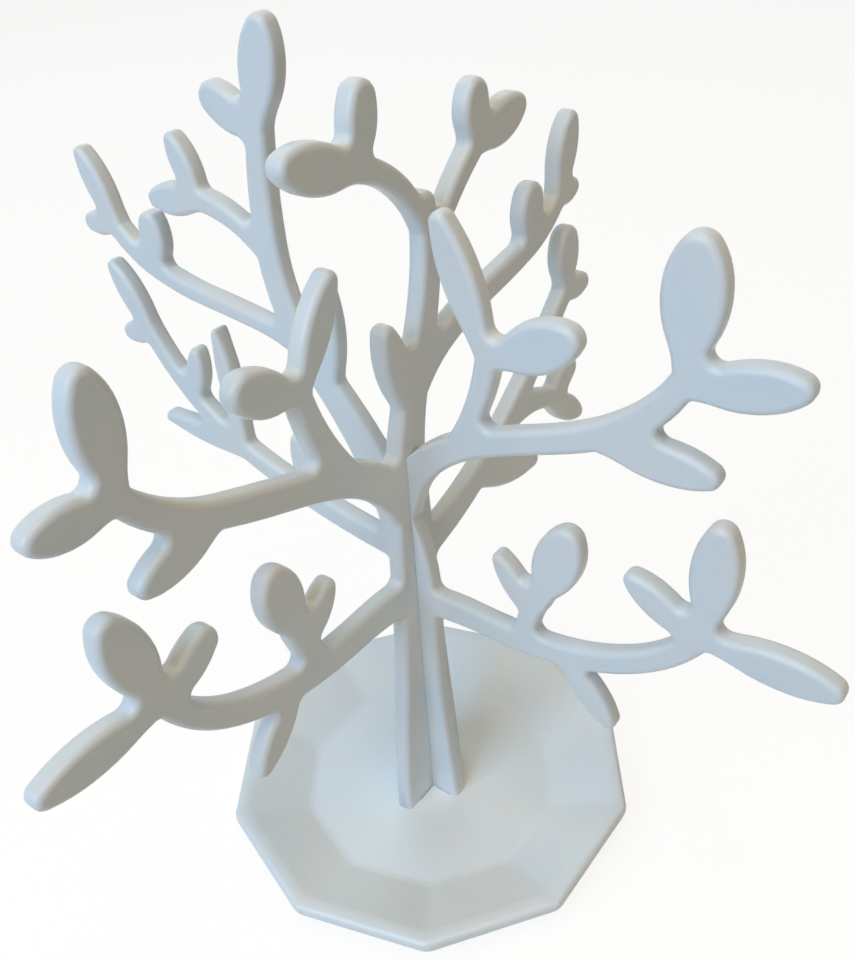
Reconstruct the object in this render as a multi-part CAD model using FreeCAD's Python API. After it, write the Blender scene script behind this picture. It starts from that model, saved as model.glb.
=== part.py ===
import FreeCAD, Part
import math
import os

V = FreeCAD.Vector

# Tree as a whole: height where its trunk parts, and how far out its leaves reach
TRUNK_H = 76.0
SPREAD = 87.7

# Tree plates, each cut from one sheet
PLATE_T = 4.0
TWIG_W = 4.5
NECK_SET = 0.6
LEAF_NECK = 0.26
LEAF_RISE = 0.4
LEAF_TIP = 0.6
BELLY = 0.57
ARC_TOL = 0.25
CROTCH_R = 1.6

# Cross joint of the two plates and their seat in the dish
LAP_Z = 60.0
LAP_FIT = 0.1
FIT = 0.3
SOCKET_DEPTH = 3.5
TENON_W = 14.0

# Ten-sided dish
SIDES = 10
RIM_R = 47.5
RIM_TOP_W = 2.5
RIM_BAND = 3.0
DISH_H = 11.5
FLOOR_Z = 5.5
FLOOR_R = 30.0
FOOT_R = 33.0
FACING = -145.0

# Sizes that follow from those above; the limbs are drawn with a reach of 87.7
out = SPREAD / 87.7
neck_w = TWIG_W - NECK_SET
tenon_z = FLOOR_Z - SOCKET_DEPTH + FIT
lap_w = PLATE_T + 2 * LAP_FIT
reach = 5 * (RIM_R + SPREAD + TRUNK_H)


def low(u, z):
    """Point on the front side of a plate, u along the plate and z up from the table."""
    return V(u * out, -PLATE_T / 2, z)


def at(u, z):
    """Point on the front side of a plate, u along the plate and z up from where the trunk parts."""
    return low(u, TRUNK_H + z)


def curve(points):
    """Smooth curve through the points."""
    line = Part.BSplineCurve()
    line.interpolate(points)
    return line


def patch(curves):
    """Flat patch inside a closed run of curves, the free ones laid out as smooth arcs."""
    runs = []
    for c in curves:
        free = c.TypeId in ("Part::GeomBSplineCurve", "Part::GeomBezierCurve")
        runs += c.toBSpline().toBiArcs(ARC_TOL) if free else [c]
    edges = Part.sortEdges([r.toShape() for r in runs])[0]
    return Part.Face(Part.Wire(edges))


def leaf(root, tip, width):
    """Ovate leaf: hollow neck at its root, belly near the middle, slim rounded tip."""
    heel, end = at(*root), at(*tip)
    length = heel.distanceToPoint(end)
    along = (end - heel).normalize()
    across = V(-along.z, 0, along.x)
    rest = 1 - BELLY
    lift = 6 * rest ** 2 * BELLY ** 2 + 4 * rest * BELLY ** 3 * LEAF_TIP
    swell = (width - neck_w * (rest ** 4 + 4 * rest ** 3 * BELLY)) / 2 / lift
    sides = []
    for hand in (across, -across):
        foot = heel + hand * neck_w / 2
        neck = foot + along * length * LEAF_NECK
        rise = heel + along * length * LEAF_RISE + hand * swell
        side = Part.BezierCurve()
        side.setPoles([foot, neck, rise, end + hand * swell * LEAF_TIP, end])
        sides.append(side)
    sole = Part.LineSegment(sides[1].StartPoint, sides[0].StartPoint)
    return patch([sides[0], sides[1], sole])


def limb(path, widths):
    """Limb along a smooth path with its width at each point, flat at the root and round at the end."""
    spine = curve(path)
    left, right = [], []
    for here, width in zip(path, widths):
        along = spine.tangent(spine.parameter(here))[0]
        across = V(-along.z, 0, along.x) * width / 2
        left.append(here + across)
        right.insert(0, here - across)
    cap = Part.Arc(left[-1], here + along * width / 2, right[0])
    return patch([curve(left), cap, curve(right), Part.LineSegment(right[-1], left[0])])


def bough(path, root_w):
    """Limb that tapers evenly from its root to a twig."""
    step = (TWIG_W - root_w) / (len(path) - 1)
    return limb([at(*p) for p in path], [root_w + step * i for i in range(len(path))])


def stem(foot, path, widths):
    """Trunk, drawn from the table, and the crown stem that it runs out into, which ends as a twig."""
    return limb([low(*p) for p in foot] + [at(*p) for p in path], widths + [TWIG_W])


limbs_a = [
    # Trunk and crown stem
    stem([(0.5, 0), (0.3, 30), (0.1, 52)], [(0, 0), (-2, 32), (-8, 49), (-10, 70)],
         [22, 18, 14, 11.8, 7.8, 6.2]),
    # Front lower bough
    bough([(0, -10), (17, -7), (37, -5), (53, 2), (64, 15)], 8.3),
    leaf((64, 15), (69.8, 36.2), 8.8),
    leaf((64, 15), (87.7, 15.5), 7.4),
    leaf((63, 13.5), (52, 21.3), 6.6),
    bough([(30, -6), (33, 1), (35, 6)], 6),
    leaf((33, 1), (24.8, 11.5), 5.8),
    leaf((34.5, 4.5), (38.7, 23), 9.6),
    leaf((37, -5), (49.5, -18.5), 6.5),
    # Front upper bough
    bough([(1, 10), (19, 29.5), (41, 37.5), (61.5, 52)], 7.8),
    leaf((61.5, 52), (62.2, 72.8), 8.4),
    leaf((61.5, 52), (76.6, 54), 7),
    leaf((45, 39.5), (63, 35.9), 7.2),
    bough([(16, 28), (23, 41), (25.5, 50)], 6.4),
    leaf((25.5, 50), (15, 67.5), 6.5),
    leaf((25.5, 50), (39.4, 57.6), 8),
    # Crown
    leaf((-1.6, 32), (3.5, 52.5), 7),
    bough([(-9.9, 65), (-3, 75.5), (6, 80.5)], 3.6),
    leaf((5, 80), (23.6, 85.8), 8),
    leaf((6, 80.5), (3.6, 93.5), 7),
    bough([(-9.3, 58), (-17, 68), (-25, 75)], 3.6),
    leaf((-25, 75), (-26.5, 87), 7.5),
    leaf((-25, 75), (-42, 79.5), 8),
    # Back upper bough
    bough([(-2, 34), (-18, 45), (-38, 48.5), (-55, 56)], 6.4),
    leaf((-55, 56), (-60.5, 73), 7.5),
    leaf((-55, 56), (-63, 57.5), 5),
    leaf((-43, 50), (-45.5, 63), 8),
    # Back lower bough
    bough([(0, -1), (-24, 6.5), (-42.5, 18.5), (-59.5, 34)], 7.4),
    leaf((-59.5, 34), (-59.7, 49), 8.5),
    leaf((-59.5, 33), (-69, 33.5), 5.5),
    bough([(-34, 12), (-45, 12.5), (-54, 9)], 5.5),
    leaf((-54, 9), (-64, 15), 6.5),
    leaf((-52.8, 9.3), (-68, -2), 6.5),
    leaf((-20, 5.5), (-47, -3.5), 7.5),
]

limbs_b = [
    # Trunk and crown stem
    stem([(0, 0), (-0.2, 27), (0, 52)],
         [(-0.2, 0), (-12.8, 28.9), (-24.2, 46.2), (-27.3, 66.2), (-25.8, 82.2)],
         [18.8, 15, 11.7, 10.6, 7.2, 6, 5.4]),
    # Front lower bough
    bough([(0, -12), (16.9, -10), (35.3, -8.9), (51.3, -2.2), (62.3, 9.8)], 6.4),
    leaf((62.3, 9.8), (62.9, 33), 8.3),
    leaf((62.3, 8.8), (85.6, 8.6), 7.6),
    leaf((61.3, 7.8), (47.4, 16.5), 6.2),
    bough([(27.3, -9), (28.3, -3), (30.8, 3)], 4.4),
    leaf((28.6, -2), (21, 9.6), 5),
    leaf((30.5, 1.3), (36.7, 21.2), 9.4),
    leaf((35.3, -8.5), (47.1, -22.6), 5.8),
    # Front upper bough
    bough([(-1, 8), (14, 30.8), (36.3, 40), (54.3, 56)], 6),
    leaf((54.3, 56), (54.5, 78.6), 9.8),
    leaf((53.8, 54.9), (72.6, 59.7), 7.6),
    leaf((40.3, 41.3), (61.6, 40.7), 7.2),
    bough([(10.3, 27.7), (16.3, 37.4), (20.1, 50)], 3.6),
    leaf((20.1, 50), (11.1, 74), 6.8),
    leaf((20.1, 50), (37.1, 58.5), 9),
    # Crown
    leaf((-25.8, 81.2), (-21.3, 100.6), 8.4),
    leaf((-25.8, 80.7), (-38, 87.6), 6.9),
    leaf((-16.3, 33.2), (-14.7, 54.8), 5.8),
    bough([(-26.9, 57.2), (-35.3, 64.2), (-44.3, 66.7)], 3.6),
    leaf((-44.3, 66.7), (-49.3, 78.7), 5.4),
    leaf((-43.3, 66.4), (-58.3, 65), 6.4),
    # Back upper bough
    bough([(-19.8, 38.7), (-38.3, 45), (-57.3, 47.7), (-72.3, 57.2)], 3.6),
    leaf((-60.8, 49.2), (-60.3, 61.7), 6.9),
    leaf((-71.3, 56.5), (-78.5, 72.2), 5.9),
    leaf((-72.3, 56.7), (-81.3, 56.2), 5),
    # Back lower bough
    bough([(0, 0), (-29.3, 4.7), (-48.3, 12.7), (-68.8, 33.7)], 5.6),
    leaf((-67.8, 32.5), (-76.8, 48.2), 5.9),
    leaf((-68.6, 32.7), (-77.3, 31.2), 5),
    leaf((-44.8, 10.5), (-46.8, 39.2), 5),
    leaf((-57.3, 20.2), (-54.3, 32.7), 5),
    leaf((-43.3, 9.7), (-69.3, 11.7), 5),
    leaf((-25.8, 4.2), (-28.1, 19.7), 5.4),
]


def block(u0, u1, z0, z1):
    """Cutting block right through a plate."""
    return Part.makeBox(u1 - u0, 2 * PLATE_T, z1 - z0, V(u0, -PLATE_T, z0))


def plate(limbs, slot_z0, slot_z1, turn):
    """One tree plate with rounded crotches, a tenon below its shoulders and a half-lap slot."""
    grown = [limb.makeOffset2D(CROTCH_R) for limb in limbs]
    sheet = grown[0].multiFuse(grown[1:]).removeSplitter().Faces[0]
    tree = sheet.makeOffset2D(-CROTCH_R).extrude(V(0, PLATE_T, 0))
    tenon = block(-TENON_W / 2, TENON_W / 2, tenon_z, FLOOR_Z)
    below = block(-reach, reach, -reach, FLOOR_Z).cut(tenon)
    slot = block(-lap_w / 2, lap_w / 2, slot_z0, slot_z1)
    return tree.cut([below, slot]).rotate(V(0, 0, 0), V(0, 0, 1), turn)


def corner(radius, k, z):
    """Corner k of a ten-sided ring."""
    angle = math.radians(FACING + k * 360 / SIDES)
    return V(radius * math.cos(angle), radius * math.sin(angle), z)


def ring(radius, z):
    """Ten-sided ring."""
    return Part.makePolygon([corner(radius, k, z) for k in range(SIDES + 1)])


def frustum(r0, z0, r1, z1):
    """Solid between two ten-sided rings, with flat sides."""
    rings = [ring(r0, z0), ring(r1, z1)]
    for k in range(SIDES):
        low, high = corner(r0, k, z0), corner(r1, k, z1)
        rings.append(Part.makePolygon([low, corner(r0, k + 1, z0), corner(r1, k + 1, z1), high, low]))
    return Part.makeSolid(Part.makeShell([Part.Face(r) for r in rings]))


def make_dish():
    """Ten-sided dish: tapered outside, upright rim band, flat walls down to the floor, cross socket."""
    band_z = DISH_H - RIM_BAND
    mouth_r = RIM_R - RIM_TOP_W / math.cos(math.pi / SIDES)
    outside = frustum(FOOT_R, 0, RIM_R, band_z).fuse(frustum(RIM_R, band_z, RIM_R, DISH_H))
    dish = outside.cut(frustum(FLOOR_R, FLOOR_Z, mouth_r, DISH_H))
    long, short = TENON_W + 2 * FIT, PLATE_T + 2 * FIT
    for x, y in ((long, short), (short, long)):
        near = V(-x / 2, -y / 2, FLOOR_Z - SOCKET_DEPTH)
        dish = dish.cut(Part.makeBox(x, y, 2 * SOCKET_DEPTH, near))
    return dish


plate_a = plate(limbs_a, -reach, LAP_Z + LAP_FIT / 2, 180)
plate_b = plate(limbs_b, LAP_Z - LAP_FIT / 2, reach, -90)

os.makedirs("parts", exist_ok=True)
make_dish().exportStep("parts/dish.step")
plate_b.exportStep("parts/plate_b.step")
plate_a.exportStep("parts/plate_a.step")
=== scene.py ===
"""Looks of the jewelry tree: two slotted resin plates standing in a ten-sided resin dish."""

import logging
import math
from dataclasses import dataclass
from enum import Enum
from typing import Iterable

import bmesh
import bpy
from mathutils import Matrix, Vector
from mathutils.kdtree import KDTree


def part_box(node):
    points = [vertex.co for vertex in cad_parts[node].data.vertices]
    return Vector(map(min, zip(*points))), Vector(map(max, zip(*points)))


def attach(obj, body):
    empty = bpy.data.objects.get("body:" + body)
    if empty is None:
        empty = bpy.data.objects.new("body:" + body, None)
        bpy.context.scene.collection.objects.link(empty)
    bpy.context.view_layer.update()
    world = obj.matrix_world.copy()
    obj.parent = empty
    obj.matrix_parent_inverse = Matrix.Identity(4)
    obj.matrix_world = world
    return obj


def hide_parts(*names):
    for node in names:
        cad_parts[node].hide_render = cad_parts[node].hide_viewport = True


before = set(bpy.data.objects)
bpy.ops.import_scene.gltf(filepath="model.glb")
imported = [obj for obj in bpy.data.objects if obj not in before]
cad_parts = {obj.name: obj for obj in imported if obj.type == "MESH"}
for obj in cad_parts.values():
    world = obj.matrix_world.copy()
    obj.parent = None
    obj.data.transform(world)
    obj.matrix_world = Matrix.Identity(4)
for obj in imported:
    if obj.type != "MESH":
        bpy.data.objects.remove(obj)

log = logging.getLogger("jewelry_tree")

MM = 0.001
SAME_POINT = 0.002 * MM
FLAT_DEG = 0.5
SLOT_SLACK = 0.2 * MM
LARGE_FACE_WEIGHT = 100
ROUND_PROFILE = 0.5


class PlateAxis(Enum):
    """Row axis that a tree plate's thickness lies along."""

    X = 0
    Y = 1


class LapSide(Enum):
    """Half of a tree plate that its half-lap slot is cut into."""

    LOWER = -1
    UPPER = 1

    def spans(self, z: float, lap_z: float) -> bool:
        """Tell whether a height lies in the slotted half.

        Args:
            z: The height.
            lap_z: Height where the two slots meet.

        Returns:
            True inside the slotted half.
        """
        return self.value * (z - lap_z) > -SLOT_SLACK


class LampTone(Enum):
    """Colour of a studio lamp."""

    WINDOW = (0.45, 0.69, 1.0)
    SKY = (0.58, 0.84, 1.0)
    BULB = (1.0, 0.80, 0.46)
    ROOM = (1.0, 0.85, 0.61)
    WHITE = (1.0, 1.0, 1.0)


@dataclass(frozen=True)
class CastResin:
    """White cast resin with a soft gloss and a faint pearly cloud in it."""

    name: str
    # These defaults are the tree's copy of the resin. It is set darker than the dish's copy as
    # painted shade.
    white: tuple[float, float, float] = (0.79, 0.81, 0.815)
    pearl_cool: tuple[float, float, float] = (0.75, 0.795, 0.82)
    pearl_warm: tuple[float, float, float] = (0.815, 0.805, 0.785)
    cloud_per_m: float = 38.0
    cloud_detail: float = 4.0
    cool_at: float = 0.34
    white_at: float = 0.5
    warm_at: float = 0.68
    polish_per_cloud: float = 3.0
    polish_detail: float = 3.0
    polish_from: float = 0.3
    polish_to: float = 0.7
    gloss_low: float = 0.30
    gloss_high: float = 0.44
    grain_per_m: float = 1100.0
    grain_detail: float = 2.0
    grain_strength: float = 0.5
    grain_depth: float = 0.00004
    ior: float = 1.5
    scatter: float = 0.12
    scatter_m: float = 0.002

    def build(self) -> bpy.types.Material:
        """Make the material.

        Returns:
            The finished material.
        """
        material = bpy.data.materials.new(self.name)
        material.use_nodes = True
        tree = material.node_tree
        shader = tree.nodes["Principled BSDF"]
        shader.inputs["IOR"].default_value = self.ior
        shader.inputs["Subsurface Weight"].default_value = self.scatter
        shader.inputs["Subsurface Scale"].default_value = self.scatter_m
        place = tree.nodes.new("ShaderNodeTexCoord").outputs["Object"]
        tree.links.new(self.cloud(tree, place), shader.inputs["Base Color"])
        tree.links.new(self.polish(tree, place), shader.inputs["Roughness"])
        tree.links.new(self.grain(tree, place), shader.inputs["Normal"])
        return material

    def noise(self, tree: bpy.types.NodeTree, place: bpy.types.NodeSocket, scale: float,
              detail: float) -> bpy.types.NodeSocket:
        """Add a noise pattern.

        Args:
            tree: Node tree of the material.
            place: Coordinates that the pattern reads.
            scale: Repeats per metre.
            detail: Octaves of finer noise.

        Returns:
            The pattern's value, from 0 to 1.
        """
        node = tree.nodes.new("ShaderNodeTexNoise")
        node.inputs["Scale"].default_value = scale
        node.inputs["Detail"].default_value = detail
        tree.links.new(place, node.inputs["Vector"])
        return node.outputs["Fac"]

    def cloud(self, tree: bpy.types.NodeTree, place: bpy.types.NodeSocket) -> bpy.types.NodeSocket:
        """Cloud the white with pale cool and warm patches.

        Args:
            tree: Node tree of the material.
            place: Coordinates that the pattern reads.

        Returns:
            The colour.
        """
        ramp = tree.nodes.new("ShaderNodeValToRGB")
        stops = ramp.color_ramp.elements
        stops[0].position, stops[0].color = self.cool_at, (*self.pearl_cool, 1)
        stops[1].position, stops[1].color = self.warm_at, (*self.pearl_warm, 1)
        middle = stops.new(self.white_at)
        middle.color = (*self.white, 1)
        pattern = self.noise(tree, place, self.cloud_per_m, self.cloud_detail)
        tree.links.new(pattern, ramp.inputs["Fac"])
        return ramp.outputs["Color"]

    def polish(self, tree: bpy.types.NodeTree, place: bpy.types.NodeSocket) -> bpy.types.NodeSocket:
        """Vary the gloss a little from place to place.

        Args:
            tree: Node tree of the material.
            place: Coordinates that the pattern reads.

        Returns:
            The roughness.
        """
        spread = tree.nodes.new("ShaderNodeMapRange")
        spread.inputs["From Min"].default_value = self.polish_from
        spread.inputs["From Max"].default_value = self.polish_to
        spread.inputs["To Min"].default_value = self.gloss_low
        spread.inputs["To Max"].default_value = self.gloss_high
        scale = self.cloud_per_m * self.polish_per_cloud
        pattern = self.noise(tree, place, scale, self.polish_detail)
        tree.links.new(pattern, spread.inputs["Value"])
        return spread.outputs["Result"]

    def grain(self, tree: bpy.types.NodeTree, place: bpy.types.NodeSocket) -> bpy.types.NodeSocket:
        """Give the skin the slight waviness that a mould leaves.

        Args:
            tree: Node tree of the material.
            place: Coordinates that the pattern reads.

        Returns:
            The surface normal.
        """
        bump = tree.nodes.new("ShaderNodeBump")
        bump.inputs["Strength"].default_value = self.grain_strength
        bump.inputs["Distance"].default_value = self.grain_depth
        pattern = self.noise(tree, place, self.grain_per_m, self.grain_detail)
        tree.links.new(pattern, bump.inputs["Height"])
        return bump.outputs["Normal"]


def solid_copy(node: str, merge: float = SAME_POINT) -> bmesh.types.BMesh:
    """Copy a CAD node as a clean mesh with whole flat faces.

    Args:
        node: Name of the CAD node.
        merge: Distance under which corners become one, in metres.

    Returns:
        The copy, merged, with its flat faces joined.
    """
    bm = bmesh.new()
    bm.from_mesh(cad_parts[node].data)
    bmesh.ops.remove_doubles(bm, verts=bm.verts, dist=merge)
    bmesh.ops.dissolve_limit(bm, angle_limit=math.radians(FLAT_DEG), verts=bm.verts,
                             edges=bm.edges)
    bm.normal_update()
    return bm


def show(bm: bmesh.types.BMesh, name: str, body: str, node: str,
         material: bpy.types.Material) -> bpy.types.Object:
    """Turn a mesh into a shown piece that stands for a CAD node.

    Args:
        bm: The mesh, which is freed.
        name: Name of the piece.
        body: Body that the piece rides.
        node: CAD node that it stands for.
        material: Finish of the piece.

    Returns:
        The piece.
    """
    mesh = bpy.data.meshes.new(name)
    for face in bm.faces:
        face.smooth = True
    bm.to_mesh(mesh)
    bm.free()
    mesh.materials.clear()
    mesh.materials.append(material)
    piece = bpy.data.objects.new(name, mesh)
    bpy.context.scene.collection.objects.link(piece)
    even = piece.modifiers.new("even shading", "WEIGHTED_NORMAL")
    even.weight = LARGE_FACE_WEIGHT
    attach(piece, body)
    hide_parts(node)
    log.info("%s: %d faces on body %s", name, len(mesh.polygons), body)
    return piece


def soften(bm: bmesh.types.BMesh, edges: Iterable[bmesh.types.BMEdge], radius: float,
           segments: int) -> None:
    """Round the given edges.

    Args:
        bm: Mesh that holds the edges.
        edges: Edges to round.
        radius: Radius in metres.
        segments: Faces across the round.
    """
    bmesh.ops.bevel(bm, geom=list(edges), offset=radius, offset_type="OFFSET", affect="EDGES",
                    segments=segments, profile=ROUND_PROFILE, material=-1, clamp_overlap=False)


@dataclass
class TreePlate:
    """One of the two tree-shaped plates, with well rounded edges as it left its mould."""

    node: str
    thickness_axis: PlateAxis
    lap: LapSide
    finish: bpy.types.Material
    edge_radius: float = 1.25 * MM
    edge_steps: int = 4
    tip_share: float = 0.8
    near_skip: float = 0.25 * MM
    shortest_edge: float = 0.12 * MM
    flat_cos: float = 0.99
    least_miter: float = 0.3
    even_rounds: int = 2
    lap_z: float = 60.0 * MM
    slot_half: float = 2.15 * MM
    floor_z: float = 5.5 * MM
    foot_slack: float = 0.1 * MM
    tenon_half: float = 7.2 * MM
    beak_deg: float = 110.0
    beak_reach: float = 1.5 * MM
    beak_rounds: int = 60
    beak_factor: float = 0.5

    def build(self, axis_at: Vector) -> bpy.types.Object:
        """Round the plate's edges and show it.

        Args:
            axis_at: Place of the trunk's axis.

        Returns:
            The piece.
        """
        bm = solid_copy(self.node, self.shortest_edge)
        self.relax_beaks(bm)
        across = self.thickness_axis.value
        for side in (-1, 1):
            flats = [f for f in bm.faces if side * f.normal[across] > self.flat_cos]
            self.round_side(bm, max(flats, key=lambda f: f.calc_area()), side, axis_at)
        bmesh.ops.remove_doubles(bm, verts=bm.verts, dist=SAME_POINT)
        bmesh.ops.recalc_face_normals(bm, faces=bm.faces)
        return show(bm, self.node + "_resin", self.node, self.node, self.finish)

    def relax_beaks(self, bm: bmesh.types.BMesh) -> None:
        """Smooth away the small beaks where two leaf tips come close to each other.

        Args:
            bm: Mesh of the plate.
        """
        beaks = [e for e in bm.edges if e.calc_face_angle(0.0) > math.radians(self.beak_deg)]
        tips = [v.co.copy() for e in beaks for v in e.verts]
        near = [v for v in bm.verts if any((v.co - tip).length < self.beak_reach for tip in tips)]
        for _ in range(self.beak_rounds if near else 0):
            bmesh.ops.smooth_vert(bm, verts=near, factor=self.beak_factor,
                                  use_axis_x=self.thickness_axis is PlateAxis.Y,
                                  use_axis_y=self.thickness_axis is PlateAxis.X, use_axis_z=True)
        bm.normal_update()

    def round_side(self, bm: bmesh.types.BMesh, flat: bmesh.types.BMFace, side: int,
                   axis_at: Vector) -> None:
        """Draw one flat side in, extrusion by extrusion, until its outline is a quarter round.

        Args:
            bm: Mesh of the plate.
            flat: Flat side.
            side: 1 for the side towards plus along the thickness, -1 for the other.
            axis_at: Place of the trunk's axis.
        """
        across = self.thickness_axis.value
        home = [v.co.copy() for v in flat.verts]
        draw = self.draw_in(flat, axis_at)
        for step in range(self.edge_steps + 1):
            turn = math.pi / 2 * step / self.edge_steps
            if step:
                made = bmesh.ops.extrude_face_region(bm, geom=[flat, *flat.edges])["geom"]
                flat = next(g for g in made if isinstance(g, bmesh.types.BMFace))
            for vert, start, way in zip(flat.verts, home, draw):
                vert.co = start + way * (1 - math.cos(turn))
                if way.length > 0:
                    vert.co[across] += side * self.edge_radius * (math.sin(turn) - 1)

    def draw_in(self, flat: bmesh.types.BMFace, axis_at: Vector) -> list[Vector]:
        """Work out how far each corner of a flat side moves inward.

        The move is the edge's radius, or less where the outline is too tight for it. Corners in the
        half-lap and on the tenon stay where they are.

        Args:
            flat: Flat side.
            axis_at: Place of the trunk's axis.

        Returns:
            One move for each corner.
        """
        points = [v.co.copy() for v in flat.verts]
        tree = KDTree(len(points))
        for k, point in enumerate(points):
            tree.insert(point, k)
        tree.balance()
        flat.normal_update()
        ways, radii = [], []
        for k, here in enumerate(points):
            before, after = here - points[k - 1], points[(k + 1) % len(points)] - here
            inward = [flat.normal.cross(e).normalized() for e in (before, after)]
            miter = (inward[0] + inward[1]) / max(self.least_miter, 1 + inward[0].dot(inward[1]))
            ways.append(self.kept_in(here - axis_at, miter))
            radii.append(self.room_for(tree, here, here - axis_at, ways[-1]))
        for _ in range(self.even_rounds):
            radii = [min(radii[k - 1], r, radii[(k + 1) % len(radii)]) for k, r in enumerate(radii)]
        return [way * radius for way, radius in zip(ways, radii)]

    def kept_in(self, place: Vector, miter: Vector) -> Vector:
        """Hold back a corner that belongs to a joint.

        Args:
            place: The corner, from the trunk's axis.
            miter: Its way inward.

        Returns:
            The way inward, level at the foot and none in the half-lap or on the tenon.
        """
        along = 1 - self.thickness_axis.value
        level = Vector((0, 0, 0))
        if place.z < self.floor_z + self.foot_slack:
            if abs(place[along]) > self.tenon_half:
                level[along] = -math.copysign(1.0, place[along])
            return level
        in_slot = self.lap.spans(place.z, self.lap_z) and abs(place[along]) < self.slot_half
        return level if in_slot else miter

    def room_for(self, tree: KDTree, here: Vector, place: Vector, inward: Vector) -> float:
        """Find the largest round that fits inside the outline at a corner.

        Args:
            tree: Corners of the outline.
            here: The corner.
            place: The corner, from the trunk's axis.
            inward: Direction into the plate.

        Returns:
            The radius in metres, at most the edge's radius.
        """
        radius = self.edge_radius
        if inward.length == 0:
            return radius
        if self.lap.spans(place.z, self.lap_z):
            beside = abs(place[1 - self.thickness_axis.value]) - self.slot_half
            radius = min(radius, self.tip_share * max(0.0, beside))
        way = inward.normalized()
        for other, _, distance in tree.find_range(here, 2 * radius / self.tip_share):
            depth = (other - here).dot(way)
            if distance > self.near_skip and depth > 0:
                radius = min(radius, self.tip_share * distance ** 2 / (2 * depth))
        return radius


@dataclass
class TrinketDish:
    """The ten-sided dish that the tree stands in."""

    finish: bpy.types.Material
    node: str = "dish"
    crease_deg: float = 6.0
    edge_radius: float = 1.15 * MM
    edge_steps: int = 5
    socket_half: float = 9.0 * MM

    def build(self, axis_at: Vector) -> bpy.types.Object:
        """Soften the floor's edge, the creases of the walls and the rim, and show the dish.

        Args:
            axis_at: Place of the trunk's axis.

        Returns:
            The piece.
        """
        bm = solid_copy(self.node)
        soften(bm, self.creases(bm, axis_at), self.edge_radius, self.edge_steps)
        return show(bm, "dish_resin", self.node, self.node, self.finish)

    def creases(self, bm: bmesh.types.BMesh, axis_at: Vector) -> list[bmesh.types.BMEdge]:
        """Find the sharp edges of the dish, away from the socket.

        Args:
            bm: Mesh of the dish.
            axis_at: Place of the trunk's axis.

        Returns:
            The edges to soften.
        """
        found = []
        for edge in bm.edges:
            if len(edge.link_faces) != 2 or edge.calc_face_angle() < math.radians(self.crease_deg):
                continue
            middle = (edge.verts[0].co + edge.verts[1].co) / 2
            aside = Vector((middle.x - axis_at.x, middle.y - axis_at.y))
            if max(abs(aside.x), abs(aside.y)) > self.socket_half:
                found.append(edge)
        return found


@dataclass(frozen=True)
class PhotoCamera:
    """Camera at the photograph's viewing angle, a little tilted as it was held."""

    place: tuple[float, float, float] = (-122.0 * MM, -102.0 * MM, 205.5 * MM)
    heading_deg: float = -51.57
    pitch_deg: float = -35.16
    roll_deg: float = 4.0
    level_deg: float = 90.0
    focal_px: float = 1000.0
    width_px: float = 855.0
    sensor_mm: float = 36.0
    clip_m: tuple[float, float] = (0.01, 50.0)

    def build(self) -> bpy.types.Object:
        """Make the scene's camera.

        Returns:
            The camera.
        """
        data = bpy.data.cameras.new("photo camera")
        data.sensor_fit = "HORIZONTAL"
        data.sensor_width = self.sensor_mm
        data.lens = self.sensor_mm * self.focal_px / self.width_px
        data.clip_start, data.clip_end = self.clip_m
        camera = bpy.data.objects.new("photo camera", data)
        turn = (Matrix.Rotation(math.radians(self.heading_deg), 4, "Z")
                @ Matrix.Rotation(math.radians(self.pitch_deg), 4, "X")
                @ Matrix.Rotation(math.radians(self.roll_deg), 4, "Y")
                @ Matrix.Rotation(math.radians(self.level_deg), 4, "X"))
        camera.matrix_world = Matrix.Translation(Vector(self.place)) @ turn
        bpy.context.scene.collection.objects.link(camera)
        bpy.context.scene.camera = camera
        return camera


@dataclass(frozen=True)
class SoftLamp:
    """Square lamp, in metres and watts, that points at the tree from a direction."""

    name: str
    tone: LampTone
    towards: tuple[float, float, float]
    distance: float
    size: float
    watts: float
    aim_z: float = 80.0 * MM

    def build(self) -> bpy.types.Object:
        """Hang the lamp.

        Returns:
            The lamp.
        """
        data = bpy.data.lights.new(self.name, "AREA")
        data.shape = "SQUARE"
        data.size = self.size
        data.energy = self.watts
        data.color = self.tone.value
        lamp = bpy.data.objects.new(self.name, data)
        way = Vector(self.towards).normalized()
        lamp.location = Vector((0, 0, self.aim_z)) + way * self.distance
        lamp.rotation_mode = "QUATERNION"
        lamp.rotation_quaternion = way.to_track_quat("Z", "Y")
        bpy.context.scene.collection.objects.link(lamp)
        return lamp


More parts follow.
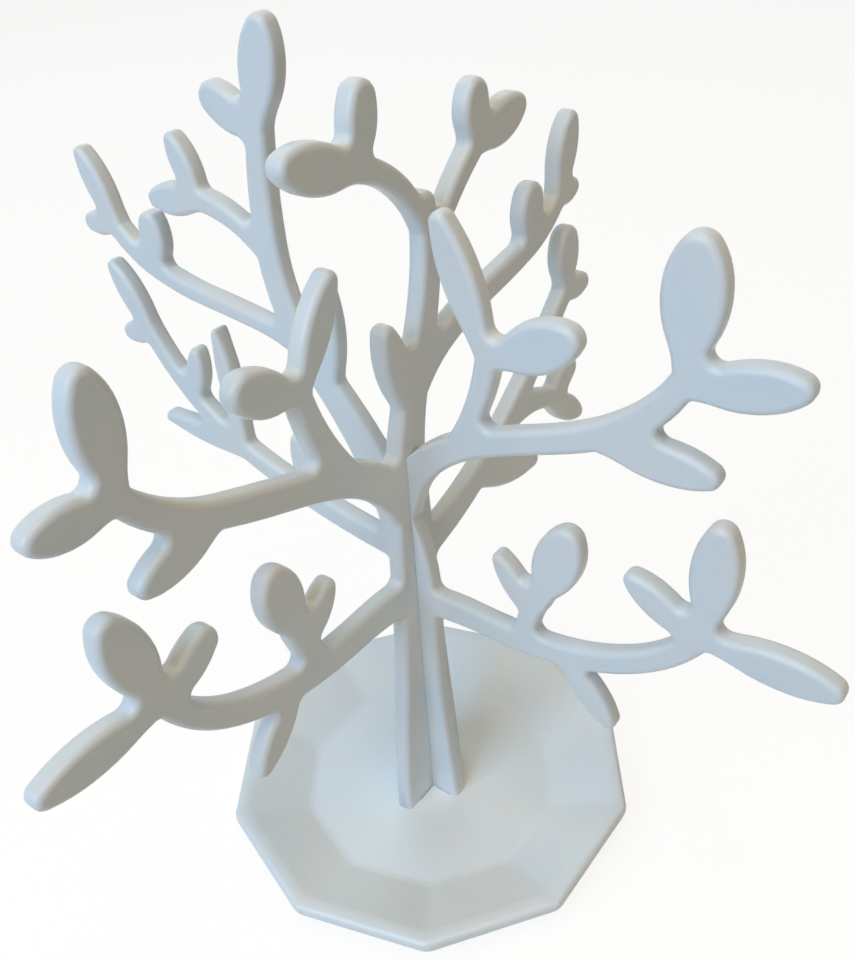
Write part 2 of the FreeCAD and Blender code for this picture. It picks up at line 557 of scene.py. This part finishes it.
@dataclass
class Studio:
    """Pale floor, window light from the left, a lamp overhead, one behind and a dim warm room."""

    floor_half: float = 4.0
    floor_white: tuple[float, float, float] = (0.76, 0.72, 0.65)
    floor_glow: float = 0.75
    floor_shine: float = 1.16
    room_level: float = 0.125
    lamps: tuple[SoftLamp, ...] = (
        SoftLamp("window lamp", LampTone.WINDOW, towards=(-0.82, 0.06, 0.58), distance=1.0,
                 size=0.6, watts=6.55),
        SoftLamp("ceiling lamp", LampTone.BULB, towards=(-0.2, -0.2, 1.0), distance=1.2,
                 size=0.7, watts=5.0),
        SoftLamp("back lamp", LampTone.SKY, towards=(0.5, 0.6, 0.8), distance=1.2,
                 size=0.9, watts=2.8),
    )

    def build(self) -> None:
        """Make the floor, the room and the lamps."""
        self.floor()
        self.room()
        for lamp in self.lamps:
            lamp.build()

    def floor(self) -> None:
        """Lay the floor, which shows near white and keeps the shadow."""
        bm = bmesh.new()
        bmesh.ops.create_grid(bm, x_segments=1, y_segments=1, size=self.floor_half)
        mesh = bpy.data.meshes.new("floor")
        bm.to_mesh(mesh)
        bm.free()
        material = bpy.data.materials.new("pale floor")
        material.use_nodes = True
        tree = material.node_tree
        tree.nodes.clear()
        matt = tree.nodes.new("ShaderNodeBsdfDiffuse")
        matt.inputs["Color"].default_value = (*self.floor_white, 1)
        glow = tree.nodes.new("ShaderNodeEmission")
        glow.inputs["Strength"].default_value = self.floor_shine
        seen = self.seen_rays(tree)
        share = tree.nodes.new("ShaderNodeMath")
        share.operation = "MULTIPLY"
        share.inputs[1].default_value = self.floor_glow
        tree.links.new(seen, share.inputs[0])
        mix = tree.nodes.new("ShaderNodeMixShader")
        out = tree.nodes.new("ShaderNodeOutputMaterial")
        tree.links.new(share.outputs[0], mix.inputs[0])
        tree.links.new(matt.outputs[0], mix.inputs[1])
        tree.links.new(glow.outputs[0], mix.inputs[2])
        tree.links.new(mix.outputs[0], out.inputs["Surface"])
        mesh.materials.append(material)
        floor = bpy.data.objects.new("floor", mesh)
        bpy.context.scene.collection.objects.link(floor)

    def seen_rays(self, tree: bpy.types.NodeTree) -> bpy.types.NodeSocket:
        """Tell rays that show the background from rays that light the object.

        Args:
            tree: Node tree to add to.

        Returns:
            1 for a camera, glossy or transmission ray.
        """
        path = tree.nodes.new("ShaderNodeLightPath")
        total = path.outputs["Is Camera Ray"]
        for kind in ("Is Glossy Ray", "Is Transmission Ray"):
            add = tree.nodes.new("ShaderNodeMath")
            add.operation = "MAXIMUM"
            tree.links.new(total, add.inputs[0])
            tree.links.new(path.outputs[kind], add.inputs[1])
            total = add.outputs[0]
        return total

    def room(self) -> None:
        """Light the scene with a dim warm room, which itself shows white."""
        world = bpy.data.worlds.new("room")
        bpy.context.scene.world = world
        world.use_nodes = True
        tree = world.node_tree
        tree.nodes.clear()
        dim = tree.nodes.new("ShaderNodeBackground")
        dim.inputs["Color"].default_value = (*LampTone.ROOM.value, 1)
        dim.inputs["Strength"].default_value = self.room_level
        white = tree.nodes.new("ShaderNodeBackground")
        white.inputs["Color"].default_value = (*LampTone.WHITE.value, 1)
        mix = tree.nodes.new("ShaderNodeMixShader")
        out = tree.nodes.new("ShaderNodeOutputWorld")
        tree.links.new(self.seen_rays(tree), mix.inputs[0])
        tree.links.new(dim.outputs[0], mix.inputs[1])
        tree.links.new(white.outputs[0], mix.inputs[2])
        tree.links.new(mix.outputs[0], out.inputs["Surface"])


def crossing() -> Vector:
    """Find the trunk's axis from the two plates' boxes.

    Returns:
        A point on the axis.
    """
    low_a, high_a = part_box("plate_a")
    low_b, high_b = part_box("plate_b")
    return Vector(((low_b.x + high_b.x) / 2, (low_a.y + high_a.y) / 2, 0.0))


def main() -> None:
    """Build the pieces, the studio and the camera."""
    logging.basicConfig(level=logging.INFO, format="%(name)s: %(message)s")
    bpy.context.scene.view_settings.view_transform = "Standard"
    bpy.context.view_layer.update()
    axis_at = crossing()
    # The tree and the dish are two copies of one resin. The dish's whiter copy is painted light for
    # the extra light that falls on the dish, and the tree's darker copy is painted shade.
    tree_resin = CastResin("tree resin").build()
    dish_resin = CastResin(
        "dish resin",
        white=(0.90, 0.92, 0.925),
        pearl_cool=(0.86, 0.905, 0.93),
        pearl_warm=(0.92, 0.91, 0.89),
        cloud_per_m=30.0,
    ).build()
    TrinketDish(dish_resin).build(axis_at)
    TreePlate("plate_b", PlateAxis.X, LapSide.UPPER, tree_resin).build(axis_at)
    TreePlate("plate_a", PlateAxis.Y, LapSide.LOWER, tree_resin).build(axis_at)
    Studio().build()
    PhotoCamera().build()


if __name__ == "__main__":
    main()
